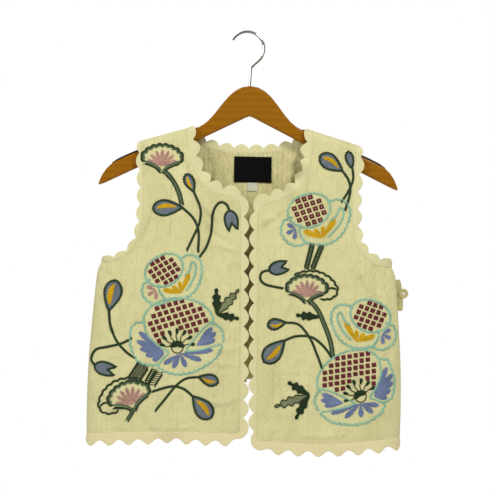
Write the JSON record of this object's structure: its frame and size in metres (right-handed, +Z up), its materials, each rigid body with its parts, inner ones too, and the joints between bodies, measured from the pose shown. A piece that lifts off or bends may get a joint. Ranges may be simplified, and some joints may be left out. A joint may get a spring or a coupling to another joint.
{
  "type": "embroidered waistcoat on a wooden hanger",
  "caption": "Cream cropped waistcoat, open at the front, with scalloped edging and crewel flowers, hanging on a wooden hanger with a wire hook.",
  "frame": {"origin": "highest point of the inner curve of the hanger's hook, in the middle of the wire, where a rail carries it", "axes": "+X to the wearer's left, +Y to the wearer's back, +Z up"},
  "size_m": [0.4759, 0.0516, 0.6301],
  "materials": {
    "cloth": "matte self-striped cotton",
    "edging": "matte scalloped cotton edging",
    "black_label": "plain woven tape",
    "white_label": "plain satin tape",
    "button": "satin",
    "wood": "satin varnish",
    "rubber": "matte",
    "chrome": "polished"
  },
  "bodies": {
    "root": {"back": "cloth", "front_right": "cloth", "front_left": "cloth", "side_tab": "cloth", "edging_front_right": "edging", "edging_front_left": "edging", "edging_back_neck": "edging", "edging_back_hem": "edging", "edging_armhole_right": "edging", "edging_armhole_left": "edging", "neck_label": "black_label", "care_label": "white_label", "side_button": "button", "hanger_body": "wood", "hanger_hook": "chrome", "grip_strip_right": "rubber", "grip_strip_left": "rubber"}
  },
  "joints": []
}
